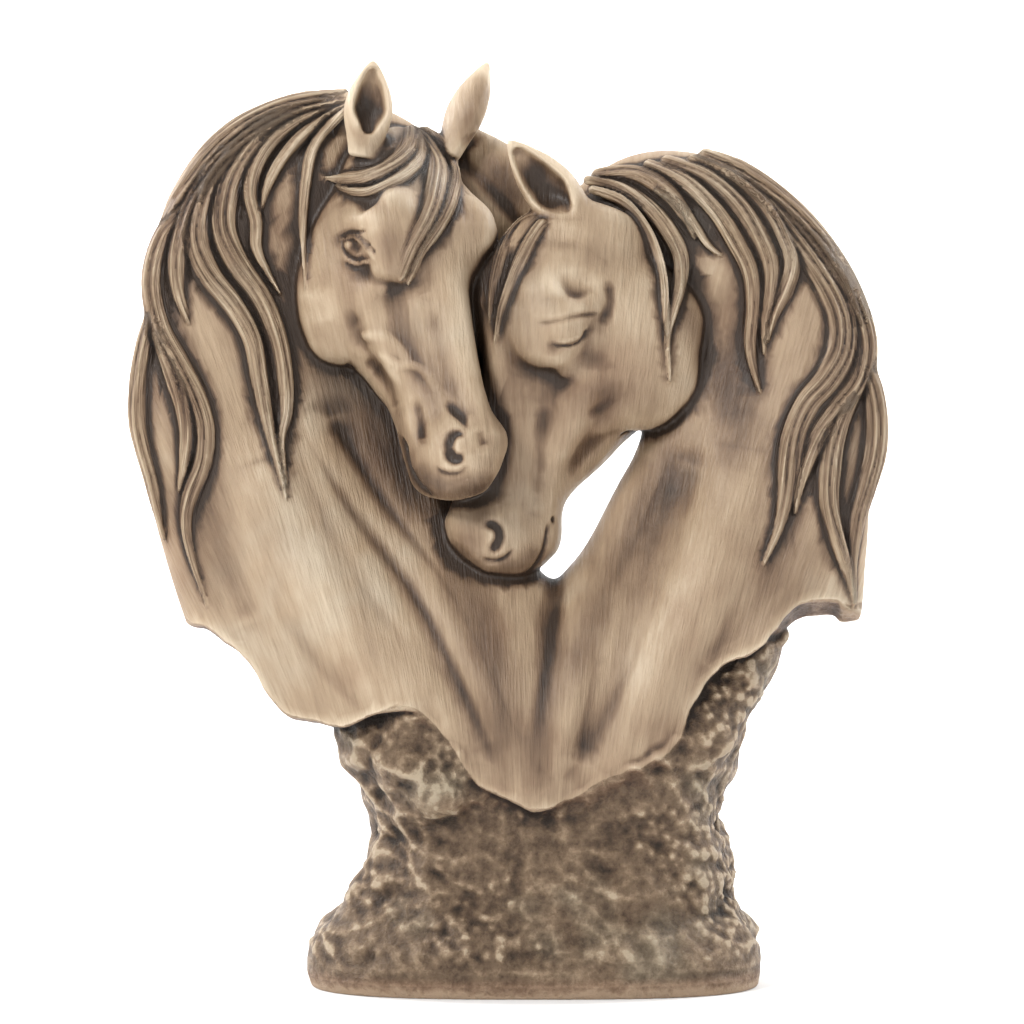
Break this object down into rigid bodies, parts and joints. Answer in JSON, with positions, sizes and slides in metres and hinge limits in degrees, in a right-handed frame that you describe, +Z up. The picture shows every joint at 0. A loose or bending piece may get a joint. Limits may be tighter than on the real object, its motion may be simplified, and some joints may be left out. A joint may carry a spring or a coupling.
{
  "type": "horse sculpture",
  "caption": "Cast resin sculpture of two horses nuzzling, with flowing manes and necks that grow out of a rough rock-like stand.",
  "frame": {"origin": "centre of the bounding box in plan, at the height of the flat underside", "axes": "+X to the right as seen from the front, the front faces -Y, +Z up"},
  "size_m": [0.2922, 0.1016, 0.3556],
  "materials": {
    "antiqued_resin": "hand-painted antiqued tan with a dark brown wash in the recesses"
  },
  "bodies": {
    "root": {"sculpture": "antiqued_resin"}
  },
  "joints": []
}
